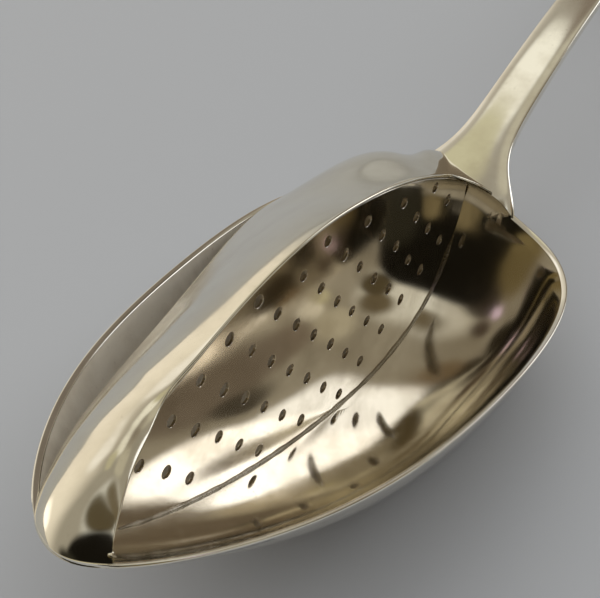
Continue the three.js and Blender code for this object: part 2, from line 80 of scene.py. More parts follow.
# Drop on the bowl's back, under the stem's root
DROP_LENGTH = 21.0
DROP_WIDTH = 15.0
DROP_HEIGHT = 1.1
DROP_LEAST_WIDTH = 0.05

# Stem and handle
STEM_TOP_AT_HEEL = 5.05
STEM_RISE = 0.449
STEM_CURVE = 0.001274
STEM_TURN_DOWN = 0.0000031
# Half widths: the stem's own, and what its taper, its flare at the root and the handle's blade add
STEM_HALF = 4.0
TAPER_HALF = 0.6
TAPER_LENGTH = 65.0
FLARE_HALF = 11.2
FLARE_MIDDLE = 0.4
FLARE_SPAN = 3.6
BLADE_HALF = 8.5
BLADE_START = 78.0
BLADE_FULL = 176.0
BLADE_TIP_SHARE = 0.1
STEM_THICKNESS = 4.2
BLADE_THICKNESS = 2.3
THINNING_LEAD = 14.0
ROOT_THICKENING = 3.3
ROOT_THICKENING_SPAN = 14.0
ROOT_REACH = 2.6
STEM_CROWN = 0.7
ROOT_CROWN = 4.0
ROOT_CROWN_SPAN = 3.0
CROWN_LIMIT = 0.7
# The stem's sections stand upright at the heel and lean with the stem from here on
LEANING_FROM = 15.0
# Below 1 these make the stem's section squarer than an oval, upwards and across
SQUARE_UP = 0.8
SQUARE_ACROSS = 0.7
# A hundredth short of the solid handle, to stay inside its box
HANDLE_REACH = 195.99

# Strainer plate and hood
PLATE_SHEET = 0.5
PLATE_MIDDLE = 0.6
PLATE_YAW = 0.0505
PLATE_FRONT = 100.0
PLATE_REAR = 1.65
PLATE_BEVEL = 0.09
HOOD_SHEET = 0.6


def smooth(x, low, high):
    t = np.clip((x - low) / (high - low), 0.0, 1.0)
    return t * t * (3 - 2 * t)


def lerp(a, b, t):
    return a + (b - a) * t


def plate_face(x):
    """Where the plate's face on the open side stands across the bowl"""
    return PLATE_MIDDLE - PLATE_YAW * (x + HALF_LENGTH)


def outline_at(angle):
    """The rim seen from above. The angle is 0 at the heel and pi at the tip, positive on the far side."""
    fullness = sum(wave * np.cos(k * angle) for k, wave in enumerate(OUTLINE_WAVES))
    return -HALF_LENGTH + HALF_LENGTH * np.cos(angle), HALF_WIDTH * np.sin(angle) * fullness


def inset_outline(angle, inset):
    step = 0.01
    ax, ay = outline_at(angle + step)
    bx, by = outline_at(angle - step)
    dx, dy = ax - bx, ay - by
    size = np.hypot(dx, dy)
    x, y = outline_at(angle)
    return x - dy / size * inset, y + dx / size * inset


def rim_angle(from_heel):
    """The rim's angle at a distance from the heel, on the far side"""
    return math.acos(1 - from_heel / HALF_LENGTH)


def rim_height(from_heel):
    share = np.clip(from_heel / BOWL_LENGTH, 0, 1)
    sag = RIM_SAG * 4 * share * (1 - share)
    rise = HEEL_RISE * np.exp(-from_heel / HEEL_RISE_SPAN) + ROOT_RISE * np.exp(-from_heel / ROOT_RISE_SPAN)
    return rise - sag - HEEL_DIP * (1 - share)


def round_bowl(angle, heel, side, tip):
    """A value that changes smoothly from the heel, along the sides, to the tip"""
    c = np.cos(angle)
    return side + (heel - tip) / 2 * c + ((heel + tip) / 2 - side) * c * c


def wall_rise(reach, angle):
    steep = round_bowl(angle, *STEEP)
    slope = round_bowl(angle, *SLOPE)
    return (1 - steep) * reach ** slope + steep * reach ** STEEP_POWER


def wall_point(reach, angle, inset, floor, drop):
    """A point of the bowl's wall. The reach is 0 at the deepest point and 1 at the rim."""
    x_rim, y_rim = inset_outline(angle, inset)
    top = rim_height(-outline_at(angle)[0]) - drop
    x = lerp(-DEEPEST, x_rim, reach)
    z = floor + (top - floor) * wall_rise(reach, angle)
    return np.stack([x, y_rim * reach, z], axis=-1)


def inside_point(reach, angle):
    return wall_point(reach, angle, RIM_WIDTH, -BOWL_DEPTH, 0.0)


def drop_at(x, y):
    along = np.clip(1 + x / DROP_LENGTH, 0, 1)
    across = np.clip(1 - (2 * y / DROP_WIDTH) ** 2 / np.maximum(along, DROP_LEAST_WIDTH), 0, 1)
    return DROP_HEIGHT * np.sqrt(across * along)


def outside_point(reach, angle):
    p = wall_point(reach, angle, RIM_ROUND, -BOWL_DEPTH - BOWL_SHEET, RIM_EDGE)
    down = drop_at(p[..., 0], p[..., 1])
    p[..., 2] -= down
    p[..., 0] += np.where(p[..., 0] > -DROP_LENGTH, down * reach, 0.0)
    return p


def inside_height(x, y):
    """Height of the bowl's inside under a point of the plan"""
    want = math.atan2(abs(y), x + DEEPEST)
    low, high = 0.0, math.pi
    for _ in range(HALVINGS):
        middle = (low + high) / 2
        rx, ry = inset_outline(middle, RIM_WIDTH)
        if math.atan2(ry, rx + DEEPEST) < want:
            low = middle
        else:
            high = middle
    rx, ry = inset_outline(low, RIM_WIDTH)
    reach = math.hypot(x + DEEPEST, y) / math.hypot(rx + DEEPEST, ry)
    return float(inside_point(reach, low)[2])


def stem_top(x):
    return STEM_TOP_AT_HEEL + STEM_RISE * x - STEM_CURVE * x * x - STEM_TURN_DOWN * x ** 3


def stem_half_width(x):
    taper = TAPER_HALF * np.clip(1 - x / TAPER_LENGTH, 0, 1)
    flare = FLARE_HALF / (1 + np.exp((x - FLARE_MIDDLE) / FLARE_SPAN))
    blade = BLADE_HALF * smooth(x, BLADE_START, BLADE_FULL)
    end = np.clip((x - BLADE_FULL) / (HANDLE_REACH - BLADE_FULL), 0, 1)
    return (STEM_HALF + taper + flare + blade) * lerp(BLADE_TIP_SHARE, 1, np.sqrt(1 - end ** 2))


def stem_thick(x):
    blade = smooth(x, BLADE_START - THINNING_LEAD, BLADE_FULL)
    thickening = ROOT_THICKENING * np.exp(-np.maximum(x, 0) / ROOT_THICKENING_SPAN)
    return lerp(STEM_THICKNESS, BLADE_THICKNESS, blade) + thickening


def stem_section(x, sides):
    slope = math.atan2(stem_top(x + 0.5) - stem_top(x - 0.5), 1.0) * smooth(x, 0, LEANING_FROM)
    half = stem_half_width(x)
    thick = stem_thick(x)
    root_crown = ROOT_CROWN * math.exp(-(x + ROOT_REACH) / ROOT_CROWN_SPAN)
    crown = min(STEM_CROWN + root_crown, thick * CROWN_LIMIT)
    turn = 2 * np.pi * (np.arange(sides) + 0.5) / sides
    c, s = np.cos(turn), np.sin(turn)
    bulge = np.abs(s) ** SQUARE_UP
    up = np.where(s > 0, crown * (bulge - 1), -crown - (thick - crown) * bulge)
    y = -half * np.sign(c) * np.abs(c) ** SQUARE_ACROSS
    return np.stack([x - up * math.sin(slope), y, stem_top(x) + up * math.cos(slope)], axis=-1)


# Making meshes and pieces
TILT_ARRAY = np.array(Matrix.Rotation(REST_TILT, 3, "Y"))


def to_world(points):
    moved = np.asarray(points, dtype=float) @ TILT_ARRAY.T + np.array(REST_SHIFT)
    moved[:, 2] = np.maximum(moved[:, 2], LOWEST)
    return moved / 1000


def read_points(mesh):
    flat = np.empty(len(mesh.vertices) * 3)
    mesh.vertices.foreach_get("co", flat)
    return flat.reshape(-1, 3)


def write_points(mesh, points):
    mesh.vertices.foreach_set("co", points.reshape(-1))
    mesh.update()


def ring_faces(rings, count):
    """Faces of a closed form that is grown ring by ring, with a flat cap at each end"""
    faces = []
    for i in range(rings - 1):
        for j in range(count):
            a = i * count + j
            b = i * count + (j + 1) % count
            faces.append((a, a + count, b + count, b))
    faces.append(tuple(range(count)))
    faces.append(tuple((rings - 1) * count + count - 1 - j for j in range(count)))
    return faces


def grow_mesh(name, points, faces):
    mesh = bpy.data.meshes.new(name)
    mesh.from_pydata([tuple(p) for p in points], [], faces)
    mesh.validate()
    mesh.update()
    return mesh


def orient(mesh, weld=None):
    """Turns all faces outwards, after joining points that are nearer than the weld"""
    work = bmesh.new()
    work.from_mesh(mesh)
    if weld:
        bmesh.ops.remove_doubles(work, verts=work.verts, dist=weld)
    bmesh.ops.recalc_face_normals(work, faces=work.faces)
    work.to_mesh(mesh)
    work.free()


def place_object(name, data):
    obj = bpy.data.objects.new(name, data)
    bpy.context.scene.collection.objects.link(obj)
    return obj


def grow_work(name, rings):
    """A form that is still in the bowl's frame, for joining and cutting"""
    mesh = grow_mesh(name, np.concatenate(rings), ring_faces(len(rings), len(rings[0])))
    orient(mesh)
    return place_object(name, mesh)


def grow_piece(name, rings, material, node, sharp):
    mesh = grow_mesh(name, to_world(np.concatenate(rings)), ring_faces(len(rings), len(rings[0])))
    return dress(name, mesh, material, node, sharp)


def dress(name, mesh, material, node, sharp):
    """Makes a piece of a mesh, shaded smooth where its faces meet at less than the sharp angle"""
    piece = place_object(name, mesh)
    mesh.shade_smooth()
    mesh.set_sharp_from_angle(angle=math.radians(sharp))
    mesh.materials.clear()
    mesh.materials.append(material)
    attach(piece, "root")
    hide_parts(node)
    return piece


def finished_mesh(obj):
    """A new mesh of what an object's modifiers or curves make"""
    depsgraph = bpy.context.evaluated_depsgraph_get()
    return bpy.data.meshes.new_from_object(obj.evaluated_get(depsgraph))


def combine(target, tool, operation):
    """Joins a tool to a target or cuts it out of it. The tool is used up."""
    modifier = target.modifiers.new("cut", "BOOLEAN")
    modifier.operation = operation
    modifier.object = tool
    modifier.solver = "EXACT"
    result = finished_mesh(target)
    target.modifiers.clear()
    used = (target.data, tool.data)
    target.data = result
    bpy.data.objects.remove(tool)
    for mesh in used:
        bpy.data.meshes.remove(mesh)


def add_node(tree, kind, inputs=None, **settings):
    """Adds a node. An input given as another node's output is linked, and any other is set to its value."""
    node = tree.nodes.new("ShaderNode" + kind)
    for name, value in settings.items():
        setattr(node, name, value)
    for key, value in (inputs or {}).items():
        if isinstance(value, bpy.types.NodeSocket):
            tree.links.new(value, node.inputs[key])
        else:
            node.inputs[key].default_value = value
    return node


# Old silver
def silver(name, light, dark, roughness, scratch, tarnish, wave, metallic=1.0):
    """One metal with its own tint, wear and tarnish. The depths of scratches and waves are in metres."""
    material = bpy.data.materials.new(name)
    material.use_nodes = True
    tree = material.node_tree
    tree.nodes.clear()
    place = add_node(tree, "TexCoord").outputs["Object"]

    def noise(scale, detail, rough, stretch=None, turn=(0, 0, 0)):
        source = place
        if stretch:
            mapping = {"Vector": place, "Scale": stretch, "Rotation": turn}
            source = add_node(tree, "Mapping", mapping).outputs["Vector"]
        inputs = {"Vector": source, "Scale": scale, "Detail": detail, "Roughness": rough}
        return add_node(tree, "TexNoise", inputs).outputs["Fac"]

    def spread(value, low, high, out_low=0.0, out_high=1.0):
        inputs = {"Value": value, "From Min": low, "From Max": high, "To Min": out_low, "To Max": out_high}
        return add_node(tree, "MapRange", inputs).outputs["Result"]

    def maths(operation, a, b):
        return add_node(tree, "Math", {0: a, 1: b}, operation=operation).outputs["Value"]

    def bump(height, distance, **under):
        inputs = {"Strength": 1.0, "Distance": distance, "Height": height, **under}
        return add_node(tree, "Bump", inputs).outputs["Normal"]

    # Thin tarnish in soft clouds, with small dark specks
    cloud = spread(noise(90, 5, 0.6), 0.42, 0.72)
    specks = spread(noise(1500, 2, 0.5), 0.70, 0.78)
    patches = maths("ADD", maths("MULTIPLY", cloud, 0.7), maths("MULTIPLY", specks, 0.6))
    stain = maths("MULTIPLY", patches, tarnish)
    tints = {"Factor": stain, "A": (*light, 1), "B": (*dark, 1)}
    colour = add_node(tree, "Mix", tints, data_type="RGBA", clamp_factor=True)

    # Fine scratches in three directions, laid down by cleaning
    fine = noise(900, 2, 0.6, (1.0, 22.0, 22.0), (0, 0, 0.5))
    cross = noise(700, 2, 0.6, (22.0, 1.2, 22.0), (0, 0, -0.35))
    long = noise(260, 3, 0.6, (0.6, 16.0, 16.0), (0.2, 0, 0.1))
    coarse = maths("ADD", maths("MULTIPLY", cross, 0.3), maths("MULTIPLY", long, 0.3))
    marks = maths("ADD", maths("MULTIPLY", fine, 0.4), coarse)
    polish = spread(marks, 0.35, 0.65, roughness * 0.7, roughness * 1.35)

    # Hammered and polished by hand, so that no face is quite true, with pits among the scratches
    hammering = bump(noise(75, 2, 0.5), wave)
    pits = spread(noise(1100, 1, 0.4), 0.28, 0.2)
    wear = bump(maths("SUBTRACT", marks, maths("MULTIPLY", pits, 0.5)), scratch, Normal=hammering)

    shader = add_node(tree, "BsdfPrincipled", {
        "Base Color": colour.outputs["Result"],
        "Metallic": metallic,
        "Roughness": maths("ADD", polish, maths("MULTIPLY", stain, 0.22)),
        "IOR": 1.45,
        "Normal": wear,
    })
    add_node(tree, "OutputMaterial", {"Surface": shader.outputs["BSDF"]})
    return material


forging_silver = silver(
    "forging_silver", light=(0.86, 0.82, 0.72), dark=(0.5, 0.43, 0.31),
    roughness=0.075, scratch=0.000001, tarnish=0.55, wave=0.00003,
)
hood_silver = silver(
    "hood_silver", light=(0.81, 0.755, 0.62), dark=(0.48, 0.42, 0.31),
    roughness=0.085, scratch=0.0000012, tarnish=0.45, wave=0.00003,
)
plate_silver = silver(
    "plate_silver", light=(0.74, 0.68, 0.58), dark=(0.34, 0.28, 0.2),
    roughness=0.07, scratch=0.0000007, tarnish=0.7, wave=0.00001,
)
solder_silver = silver(
    "solder_silver", light=(0.4, 0.36, 0.29), dark=(0.2, 0.17, 0.12),
    roughness=0.24, scratch=0.00001, tarnish=0.9, wave=0.00012,
)
# The covered side can't be reached by a polishing cloth
chamber_silver = silver(
    "chamber_silver", light=(0.92, 0.85, 0.72), dark=(0.5, 0.42, 0.31),
    roughness=0.36, scratch=0.00001, tarnish=0.8, wave=0.00008, metallic=0.55,
)


def dull(piece, faces):
    """Gives the covered faces of a piece the silver that no cloth reaches"""
    piece.data.materials.append(chamber_silver)
    for face in faces:
        piece.data.polygons[face].material_index = 1


# Forged spoon
OUTLINE_POINTS = 224
WALL_RINGS = 30
# Below 1 it brings the wall's rings closer together towards the rim
RING_SPACING = 0.75
ANGLES = 2 * np.pi * np.arange(OUTLINE_POINTS) / OUTLINE_POINTS
REACHES = ((np.arange(WALL_RINGS) + 1) / WALL_RINGS) ** RING_SPACING
# Rounded rim, from its inner edge to its outer one: inset from the outline and drop below the rim's top
RIM_PROFILE = (
    (1.05, 0.42), (0.98, 0.33), (0.86, 0.25), (0.72, 0.18), (0.57, 0.11), (0.43, 0.055), (0.3, 0.015),
    (0.2, 0.01), (0.11, 0.06), (0.04, 0.16), (0.004, 0.3), (0.03, 0.42), (0.13, 0.52),
)
# Angles of the rim where the hood's foot starts on the open side, where it leaves the rim by the tip on the
# far side, and where it ends at the stem's shoulder
NEAR_CORNER = 2 * math.pi - rim_angle(105.3)
FAR_CORNER = rim_angle(103.0)
SHOULDER_ANGLE = rim_angle(1.96)
# Where the hood stands on the rim round the tip, the rim's side is filed back under it
FILED_BACK = 0.22
FILED_NEAR = (NEAR_CORNER, NEAR_CORNER - 0.12)
FILED_FAR = (FAR_CORNER - 0.1, FAR_CORNER + 0.05)
# The stem's sections are counted from its root to here, on to the blade's full width, and on to its end
ROOT_END = 14.4
ROOT_STATIONS = 41
MIDDLE_STATIONS = 91
END_STATIONS = 25
STEM_SIDES = 72
# The covered faces of the bowl lie this far below the rim, and look upwards or towards the plate
COVERED_DEPTH = 0.6
COVERED_UPWARDS = 0.2
COVERED_SIDEWAYS = 0.05
FORGING_SHARP = 32


def inside_rings():
    return [inside_point(reach, ANGLES) for reach in REACHES[:-1]]


def bowl_shell():
    covered = smooth(ANGLES, *FILED_NEAR) * smooth(ANGLES, *FILED_FAR)
    rim = [
        wall_point(1.0, ANGLES, np.maximum(inset, FILED_BACK * covered), -BOWL_DEPTH, drop)
        for inset, drop in RIM_PROFILE
    ]
    outside = [outside_point(reach, ANGLES) for reach in REACHES[::-1]]
    return grow_work("bowl_work", inside_rings() + rim + outside)


def stem_bar():
    stations = np.concatenate([
        np.linspace(-ROOT_REACH, ROOT_END, ROOT_STATIONS)[:-1],
        np.linspace(ROOT_END, BLADE_FULL, MIDDLE_STATIONS)[:-1],
        BLADE_FULL + (HANDLE_REACH - BLADE_FULL) * np.sin(np.pi / 2 * np.linspace(0, 1, END_STATIONS)),
    ])
    return grow_work("stem_work", [stem_section(x, STEM_SIDES) for x in stations])


def bowl_hollow():
    inset, drop = RIM_PROFILE[0]
    edge = wall_point(1.0, ANGLES, inset, -BOWL_DEPTH, drop)
    lid = edge.copy()
    lid[:, 2] = 2 * BOWL_DEPTH
    return grow_work("hollow_work", inside_rings() + [edge, lid])


def is_covered(mesh, face):
    """Whether a face of the forging is on the bowl's inside, wholly behind the plate and below the rim"""
    corners = [mesh.vertices[index].co for index in face.vertices]
    behind = all(p.y > plate_face(p.x) + PLATE_SHEET / 2 and p.x < -RIM_WIDTH for p in corners)
    below = face.center.z < float(rim_height(-face.center.x)) - COVERED_DEPTH
    return behind and below and (face.normal.z > COVERED_UPWARDS or face.normal.y < -COVERED_SIDEWAYS)


def forging():
    """The bowl's shell joined to the stem, with the hollow cut out of both"""
    bowl = bowl_shell()
    combine(bowl, stem_bar(), "UNION")
    combine(bowl, bowl_hollow(), "DIFFERENCE")
    mesh = bowl.data
    covered = [face.index for face in mesh.polygons if is_covered(mesh, face)]
    write_points(mesh, to_world(read_points(mesh)))
    bpy.data.objects.remove(bowl)
    mesh.name = "forging"
    piece = dress("forging", mesh, forging_silver, "spoon_body", FORGING_SHARP)
    dull(piece, covered)


forging()

# Hood
HOOD_HEIGHT = 16.8
# Inner edge along the plate: distance from the heel as a share of the bowl's length, and height as a share
# of the hood's
LIP_ON_PLATE = (
    (0.778, 0.47), (0.718, 0.613), (0.639, 0.792), (0.556, 0.923), (0.435, 1.0), (0.306, 0.94),
    (0.19, 0.785), (0.1185, 0.635), (0.06, 0.48),
)
# Inner edge round the tip: distance from the tip, place across and height
LIP_AT_NOSE = ((2.7, -5.3, 0.3), (6.4, -3.6, 3.1), (12.5, -1.2, 5.2), (17.7, 0.4, 6.1))
# Inner edge at the heel: place along and across, and height
LIP_AT_HEEL = ((-2.4, -4.4, 5.7), (-1.6, -6.4, 4.8), (-1.2, -8.4, 3.7))
# Outer edge over the stem's root: place along and across
OVER_ROOT = ((3.6, 8.8), (4.9, 6.8), (2.3, 3.4), (0.9, 0.4), (0.0, -2.9), (-0.5, -6.3), (-0.6, -8.8))
ROOT_ROUNDING = 2.0
# Outer edge along the rim
SLOT_INSET = 7.4
SLOT_SKEW = 1.32
SLOT_LIFT = 2.0
SLOT_HEEL_END = 8.0
SLOT_NOSE_END = 104.0
FOOT_INSET = 0.05
FOOT_DEPTH = 0.6
OUTER_STEPS = 25
# Shares of the inner edge's length, and of the outer edge's, that an arch joins
EDGE_PAIRS = np.array((
    (0, 0), (0.055, 0.055), (0.11, 0.105), (0.2, 0.2), (0.35, 0.38), (0.5, 0.52), (0.65, 0.66),
    (0.78, 0.79), (0.86, 0.865), (0.93, 0.92), (1, 1),
))
# Angles of the arches, in degrees, where they spring from the outer edge and at their crest
HOOD_SPRING = 35
NOSE_SPRING = 80
HEEL_SPRING = 56
ROOT_SPRING = 28
HOOD_CREST = 16
LIP_ROLL = -40
# How full the arches are along the slot, at the heel, over the root and at the corner by the tip
SLOT_FULLNESS = 0.32
HEEL_FULLNESS = 0.5
ROOT_FULLNESS = 0.36
CORNER_FULLNESS = 0.06
# Where the arches change and where the sheet ends, as shares of the inner edge's length
NOSE_ZONE = (0, 0.4)
HEEL_ZONE = (0.6, 0.78)
ROOT_ZONE = (0.84, 0.92)
CORNER_ZONE = (0.015, 0.075)
ROLL_START = (0.03, 0.09)
ROLL_END = (0.13, 0.24)
HOOD_ENDS = (0.004, 0.985)
HOOD_STATIONS = 260
HOOD_STEPS = 121
# Points of each section along its upper and under face, and turns round its free lip and its outer edge
TOP_POINTS = 58
UNDER_POINTS = 30
LIP_TURNS = [math.radians(turn) for turn in range(15, 180, 15)]
OUTER_TURNS = [math.radians(turn) for turn in np.linspace(180, 0, 9)[1:-1]]
# Radius of the outer edge on the rim and over the root, and where it changes
OUTER_RADII = (0.28, 0.12)
OUTER_ZONE = (0.80, 0.88)
HOOD_SHARP = 50


class Curve:
    """A centripetal curve through points, read by its share of length"""

    STEPS = 40
    LEAST_GAP = 1e-6

    def __init__(self, points):
        p = np.asarray(points, dtype=float)
        p = np.vstack([2 * p[0] - p[1], p, 2 * p[-1] - p[-2]])
        samples = []
        for i in range(1, len(p) - 2):
            p0, p1, p2, p3 = p[i - 1:i + 3]
            pairs = ((p0, p1), (p1, p2), (p2, p3))
            d0, d1, d2 = (max(np.linalg.norm(b - a), self.LEAST_GAP) ** 0.5 for a, b in pairs)
            m1 = ((p1 - p0) / d0 - (p2 - p0) / (d0 + d1) + (p2 - p1) / d1) * d1
            m2 = ((p2 - p1) / d1 - (p3 - p1) / (d1 + d2) + (p3 - p2) / d2) * d1
            t = np.linspace(0, 1, self.STEPS, endpoint=False)[:, None]
            square = -3 * p1 + 3 * p2 - 2 * m1 - m2
            cube = 2 * p1 - 2 * p2 + m1 + m2
            samples.append(p1 + t * m1 + t ** 2 * square + t ** 3 * cube)
        samples.append(p[-2][None])
        self.points = np.vstack(samples)
        steps = np.linalg.norm(np.diff(self.points, axis=0), axis=1)
        self.share = np.concatenate([[0], np.cumsum(steps)]) / steps.sum()

    def at(self, share):
        return np.stack([np.interp(share, self.share, self.points[:, k]) for k in range(3)], axis=-1)


def rim_foot(angle):
    """A point of the hood's outer edge along the rim, raised and drawn in where it leaves the slot"""
    from_heel = -float(outline_at(angle)[0])
    share = min(max((from_heel - SLOT_HEEL_END) / (SLOT_NOSE_END - SLOT_HEEL_END), 0), 1)
    far = 1 if math.sin(angle) > 0 else 0
    inset = FOOT_INSET + far * SLOT_INSET * math.sin(math.pi * share ** SLOT_SKEW)
    lift = far * SLOT_LIFT * math.sin(math.pi * share)
    x, y = inset_outline(angle, inset)
    foot = FOOT_DEPTH * (1 - float(smooth(lift, 0, 1)))
    return float(x), float(y), float(rim_height(from_heel)) + lift - foot


def root_foot(x, y):
    """A point of the hood's outer edge over the stem's root"""
    return x, y, float(stem_top(x) - ROOT_ROUNDING * (y / stem_half_width(x)) ** 2)


inner_curve = Curve(
    [(d - BOWL_LENGTH, y, z) for d, y, z in LIP_AT_NOSE]
    + [(-a * BOWL_LENGTH, plate_face(-a * BOWL_LENGTH), u * HOOD_HEIGHT) for a, u in LIP_ON_PLATE]
    + list(LIP_AT_HEEL)
)
outer_curve = Curve(
    [rim_foot(angle) for angle in np.linspace(NEAR_CORNER, SHOULDER_ANGLE, OUTER_STEPS)]
    + [root_foot(x, y) for x, y in OVER_ROOT]
)


def level(direction):
    flat = direction * (1, 1, 0)
    return flat / np.linalg.norm(flat)


def hood_arch(share, steps):
    """Points of one arch, from the outer edge to the inner edge"""
    inner = inner_curve.at(share)
    outer = outer_curve.at(np.interp(share, EDGE_PAIRS[:, 0], EDGE_PAIRS[:, 1]))
    across = level(inner - outer)
    nose = 1 - float(smooth(share, *NOSE_ZONE))
    heel = float(smooth(share, *HEEL_ZONE))
    root = float(smooth(share, *ROOT_ZONE))
    corner = 1 - float(smooth(share, *CORNER_ZONE))
    roll = float(smooth(share, *ROLL_START)) * (1 - float(smooth(share, *ROLL_END)))
    spring = lerp(lerp(lerp(HOOD_SPRING, NOSE_SPRING, nose), HEEL_SPRING, heel), ROOT_SPRING, root)
    crest = lerp(HOOD_CREST * (1 - nose) * (1 - heel), LIP_ROLL, roll)
    start, end = math.radians(spring), math.radians(crest)
    fullness = lerp(lerp(SLOT_FULLNESS, HEEL_FULLNESS, heel), ROOT_FULLNESS, root)
    handle = np.linalg.norm(inner - outer) * lerp(fullness, CORNER_FULLNESS, corner)
    over = level(lerp(across, np.array([0, -1.0, 0]), roll))
    lead = across * math.cos(start) + np.array([0, 0, math.sin(start)])
    tail = over * math.cos(end) + np.array([0, 0, math.sin(end)])
    a, b, c, d = outer, outer + lead * handle, inner - tail * handle, inner
    t = np.linspace(0, 1, steps)[:, None]
    return (1 - t) ** 3 * a + 3 * (1 - t) ** 2 * t * b + 3 * (1 - t) * t * t * c + t ** 3 * d


def hood_section(share, row, up, arc):
    """A closed section of the sheet: along the top, round the free lip, back below, round the outer edge"""

    def on_arch(distance):
        point = np.array([np.interp(distance, arc, row[:, k]) for k in range(3)])
        side = np.array([np.interp(distance, arc, up[:, k]) for k in range(3)])
        return point, side / np.linalg.norm(side)

    length = arc[-1]
    half = HOOD_SHEET / 2
    radius = lerp(*OUTER_RADII, float(smooth(share, *OUTER_ZONE)))
    ring = [on_arch(d)[0] for d in np.linspace(radius, length - half, TOP_POINTS)]
    end, side = on_arch(length)
    ahead = row[-1] - row[-2]
    ahead /= np.linalg.norm(ahead)
    for turn in LIP_TURNS:
        ring.append(end + ahead * half * (math.sin(turn) - 1) + side * half * (math.cos(turn) - 1))
    for d in np.linspace(length - half, radius, UNDER_POINTS):
        point, side = on_arch(d)
        ring.append(point - side * HOOD_SHEET)
    start, side = on_arch(0.0)
    back = row[1] - row[0]
    back /= np.linalg.norm(back)
    for turn in OUTER_TURNS:
        down = side * HOOD_SHEET * (math.cos(turn) - 1) / 2
        ring.append(start + back * radius * (1 - math.sin(turn)) + down)
    return np.array(ring)


def hood():
    """The same two edges and arches as the solid, in a finer sheet with a rounded lip"""
    shares = np.linspace(*HOOD_ENDS, HOOD_STATIONS)
    grid = np.stack([hood_arch(share, HOOD_STEPS) for share in shares])
    normal = np.cross(np.gradient(grid, axis=1), np.gradient(grid, axis=0))
    normal /= np.linalg.norm(normal, axis=-1, keepdims=True)
    steps = np.linalg.norm(np.diff(grid, axis=1), axis=-1)
    arcs = np.concatenate([np.zeros((HOOD_STATIONS, 1)), np.cumsum(steps, axis=1)], axis=1)
    rings = [hood_section(*station) for station in zip(shares, grid, normal, arcs)]
    piece = grow_piece("hood_sheet", rings, hood_silver, "hood", HOOD_SHARP)
    count = len(rings[0])
    first = TOP_POINTS + len(LIP_TURNS) + 1
    under = range(first, first + UNDER_POINTS - 2)
    dull(piece, [face for face in range((HOOD_STATIONS - 1) * count) if face % count in under])


hood()

# Pierced plate
HOLE_RADIUS = 0.95
HOLE_PITCH_ALONG = 5.7
HOLE_PITCH_UP = 3.82
HOLE_ROW_TILT = math.radians(7.5)
FIRST_HOLE = (-74.3, -13.9)
HOLE_ROWS = range(12)
HOLE_COLUMNS = range(-20, 20)
# The lattice is kept clear of the plate's foot, its top, its ends and its corner at the heel
HOLE_OVER_FOOT = 1.85
HOLE_UNDER_HOOD = 1.4
BARE_END = 7
BARE_HEEL_CORNER = 3
# The holes were punched by hand: how their sizes vary, how far they wander, and how uneven their edges are
HOLE_SIZES = (0.93, 1.06)
HOLE_WANDER = 0.12
HOLE_WAVES = ((2, 0.04), (3, 0.02))
HOLE_STEPS = 36
HOLE_SEED = 7
# How far the plate's foot and top reach into the joints
FOOT_SINK = 0.15
TOP_SINK = 0.05
PLATE_STEPS = 140
PLATE_WELD = 0.000001
PLATE_SHARP = 12
BACK_FACING = 0.9

edge_x = inner_curve.points[:, 0]
edge_z = inner_curve.points[:, 2]
rising = np.concatenate([[True], np.diff(np.maximum.accumulate(edge_x)) > 1e-9])


def lip_height(x):
    """Height of the hood's inner edge, as far as it runs towards the heel"""
    return float(np.interp(x, edge_x[rising], edge_z[rising]))


def foot_height(x):
    return max(inside_height(x, plate_face(x)), inside_height(x, plate_face(x) + PLATE_SHEET))


def hole_places():
    places = []
    for row in HOLE_ROWS:
        for column in HOLE_COLUMNS:
            if (row + column) % 2:
                continue
            along, up = HOLE_PITCH_ALONG * column, HOLE_PITCH_UP * row
            x = FIRST_HOLE[0] + along * math.cos(HOLE_ROW_TILT) + up * math.sin(HOLE_ROW_TILT)
            z = FIRST_HOLE[1] - along * math.sin(HOLE_ROW_TILT) + up * math.cos(HOLE_ROW_TILT)
            if not (-PLATE_FRONT + BARE_END < x < -BARE_END and x - 2 * z < BARE_HEEL_CORNER):
                continue
            if z - foot_height(x) >= HOLE_OVER_FOOT and lip_height(x) - HOOD_SHEET - z >= HOLE_UNDER_HOOD:
                places.append((x, z))
    return places


def hole_loop(x, z, rng):
    radius = HOLE_RADIUS * rng.uniform(*HOLE_SIZES)
    x += rng.normal(0, HOLE_WANDER)
    z += rng.normal(0, HOLE_WANDER)
    turns = np.linspace(0, 2 * np.pi, HOLE_STEPS, endpoint=False)
    wobble = 1
    for waves, share in HOLE_WAVES:
        wobble = wobble + share * np.sin(waves * turns + rng.uniform(0, 6))
    return [(x + radius * w * math.cos(t), z + radius * w * math.sin(t)) for t, w in zip(turns, wobble)]


def plate_loops():
    """The plate's outline, then its holes"""
    rng = np.random.default_rng(HOLE_SEED)
    xs = np.linspace(-PLATE_FRONT, -PLATE_REAR, PLATE_STEPS)
    foot = [(x, foot_height(x) - FOOT_SINK) for x in xs]
    top = [(x, max(lip_height(x) - HOOD_SHEET + TOP_SINK, foot_height(x) + TOP_SINK)) for x in xs]
    return [foot + top[::-1]] + [hole_loop(x, z, rng) for x, z in hole_places()]


def stand_up(flat):
    """Turns points of the flat plate to its place along the bowl"""
    depth = PLATE_SHEET / 2 - flat[:, 2]
    turn = math.atan(PLATE_YAW)
    run = flat[:, 0] + HALF_LENGTH
    x = -HALF_LENGTH + run * math.cos(turn) + depth * math.sin(turn)
    y = PLATE_MIDDLE - run * math.sin(turn) + depth * math.cos(turn)
    return np.stack([x, y, flat[:, 1]], axis=-1)


